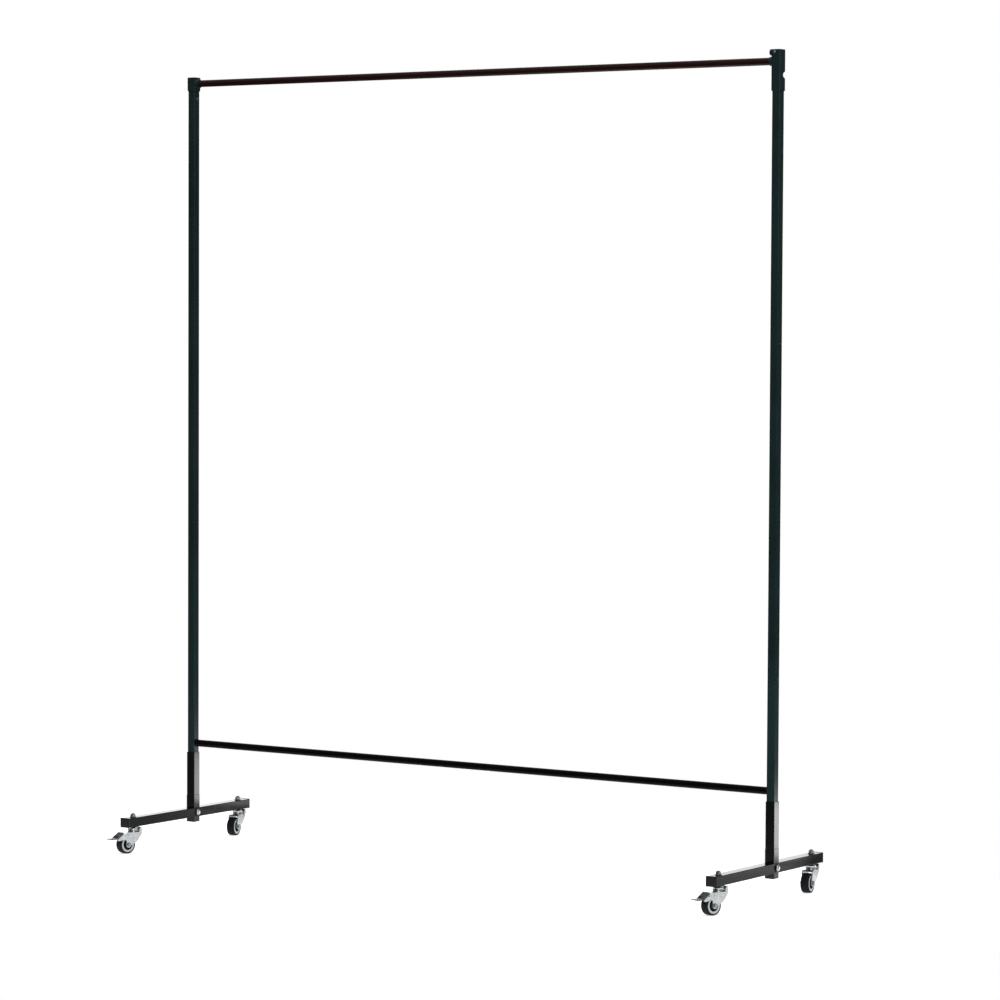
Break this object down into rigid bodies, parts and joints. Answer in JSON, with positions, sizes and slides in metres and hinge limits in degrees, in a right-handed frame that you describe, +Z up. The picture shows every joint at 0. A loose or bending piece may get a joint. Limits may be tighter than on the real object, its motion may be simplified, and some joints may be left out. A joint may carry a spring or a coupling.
{
  "type": "welding curtain screen frame",
  "caption": "Free-standing rolling frame for a welding curtain: square posts, round rails, foot beams and swivel casters, the front ones with foot brakes.",
  "frame": {"origin": "on the floor, below the middle of the whole frame's box", "axes": "+Z up, -Y to the front, where the brake pedals point, +X towards the taller post"},
  "size_m": [1.8804, 0.5708, 2.0993],
  "materials": {
    "post_paint": "semi-gloss dark green enamel",
    "foot_paint": "gloss black enamel",
    "rail_paint": "gloss black enamel",
    "black_plastic": "moulded",
    "zinc": "zinc plated, pressed",
    "dark_steel": "darkened",
    "wheel_plastic": "moulded",
    "tyre": "moulded"
  },
  "bodies": {
    "frame": {"post_left": "post_paint", "post_right": "post_paint", "top_fitting_left": "post_paint", "top_fitting_right": "post_paint", "stud_lower": "post_paint", "stud_upper": "post_paint", "leg_sleeve_left": "foot_paint", "leg_sleeve_right": "foot_paint", "foot_socket_left": "foot_paint", "foot_socket_right": "foot_paint", "foot_beam_left": "foot_paint", "foot_beam_right": "foot_paint", "rail_top": "rail_paint", "rail_bottom": "rail_paint", "clamp_knob": "black_plastic", "end_cap_front_left": "black_plastic", "end_cap_front_right": "black_plastic", "end_cap_rear_left": "black_plastic", "end_cap_rear_right": "black_plastic", "clamp_screw": "zinc", "rivet_left": "zinc", "foot_bolt_left": "zinc", "foot_bolt_right": "zinc", "foot_bolt_nut_left": "zinc", "foot_bolt_nut_right": "zinc", "foot_bolt_washer_left": "dark_steel", "foot_bolt_washer_right": "dark_steel", "caster_stem_front_left": "dark_steel", "stem_nut_front_left": "zinc", "upper_race_front_left": "zinc", "caster_stem_front_right": "dark_steel", "stem_nut_front_right": "zinc", "upper_race_front_right": "zinc", "caster_stem_rear_left": "dark_steel", "stem_nut_rear_left": "zinc", "upper_race_rear_left": "zinc", "caster_stem_rear_right": "dark_steel", "stem_nut_rear_right": "zinc", "upper_race_rear_right": "zinc"},
    "swivel_front_left": {"fork_front_left": "zinc", "wheel_axle_front_left": "zinc", "brake_pin_front_left": "zinc"},
    "wheel_front_left": {"wheel_core_front_left": "wheel_plastic", "tyre_front_left": "tyre"},
    "pedal_front_left": {"brake_pedal_front_left": "dark_steel"},
    "swivel_front_right": {"fork_front_right": "zinc", "wheel_axle_front_right": "zinc", "brake_pin_front_right": "zinc"},
    "wheel_front_right": {"wheel_core_front_right": "wheel_plastic", "tyre_front_right": "tyre"},
    "pedal_front_right": {"brake_pedal_front_right": "dark_steel"},
    "swivel_rear_left": {"fork_rear_left": "zinc", "wheel_axle_rear_left": "zinc"},
    "wheel_rear_left": {"wheel_core_rear_left": "wheel_plastic", "tyre_rear_left": "tyre"},
    "swivel_rear_right": {"fork_rear_right": "zinc", "wheel_axle_rear_right": "zinc"},
    "wheel_rear_right": {"wheel_core_rear_right": "wheel_plastic", "tyre_rear_right": "tyre"}
  },
  "joints": [
    {"name": "swivel_front_left", "type": "hinge", "parent": "frame", "child": "swivel_front_left", "pos_m": [-0.9125, -0.20575, 0.057], "axis": [0, 0, 1], "continuous": true},
    {"name": "roll_front_left", "type": "hinge", "parent": "swivel_front_left", "child": "wheel_front_left", "pos_m": [-0.91831, -0.22904, 0.025], "axis": [0.9703, -0.2419, 0], "continuous": true},
    {"name": "brake_front_left", "type": "hinge", "parent": "swivel_front_left", "child": "pedal_front_left", "pos_m": [-0.92326, -0.24893, 0.04752], "axis": [0.9703, -0.2419, 0], "range_deg": [0, 20]},
    {"name": "swivel_front_right", "type": "hinge", "parent": "frame", "child": "swivel_front_right", "pos_m": [0.9125, -0.20575, 0.057], "axis": [0, 0, 1], "continuous": true},
    {"name": "roll_front_right", "type": "hinge", "parent": "swivel_front_right", "child": "wheel_front_right", "pos_m": [0.90629, -0.22894, 0.025], "axis": [0.9659, -0.2588, 0], "continuous": true},
    {"name": "brake_front_right", "type": "hinge", "parent": "swivel_front_right", "child": "pedal_front_right", "pos_m": [0.90098, -0.24873, 0.04752], "axis": [0.9659, -0.2588, 0], "range_deg": [0, 20]},
    {"name": "swivel_rear_left", "type": "hinge", "parent": "frame", "child": "swivel_rear_left", "pos_m": [-0.9125, 0.25025, 0.057], "axis": [0, 0, 1], "continuous": true},
    {"name": "roll_rear_left", "type": "hinge", "parent": "swivel_rear_left", "child": "wheel_rear_left", "pos_m": [-0.90751, 0.22677, 0.025], "axis": [0.9781, 0.2079, 0], "continuous": true},
    {"name": "swivel_rear_right", "type": "hinge", "parent": "frame", "child": "swivel_rear_right", "pos_m": [0.9125, 0.25025, 0.057], "axis": [0, 0, 1], "continuous": true},
    {"name": "roll_rear_right", "type": "hinge", "parent": "swivel_rear_right", "child": "wheel_rear_right", "pos_m": [0.91625, 0.22654, 0.025], "axis": [0.9877, 0.1564, 0], "continuous": true}
  ]
}
